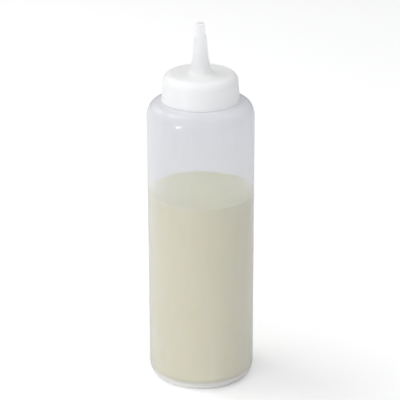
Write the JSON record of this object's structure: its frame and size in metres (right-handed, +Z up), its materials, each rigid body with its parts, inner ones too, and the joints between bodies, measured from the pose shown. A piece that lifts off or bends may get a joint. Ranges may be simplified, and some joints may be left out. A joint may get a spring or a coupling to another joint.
{
  "type": "condiment squeeze bottle",
  "caption": "Round translucent squeeze bottle with a screwed-on cap and open tapered nozzle, partly filled with a pale creamy sauce, for dispensing condiments.",
  "frame": {"origin": "centre of the base, on the surface the bottle stands on", "axes": "+Z up along the bottle's axis, towards the nozzle's tip"},
  "size_m": [0.0636, 0.0636, 0.223],
  "materials": {
    "bottle_plastic": "translucent natural polyethylene, satin",
    "cap_plastic": "milky white polyethylene, satin",
    "sauce": "pale creamy sauce, wet and opaque"
  },
  "bodies": {
    "root": {"bottle": "bottle_plastic", "cap": "cap_plastic", "sauce": "sauce"}
  },
  "joints": []
}
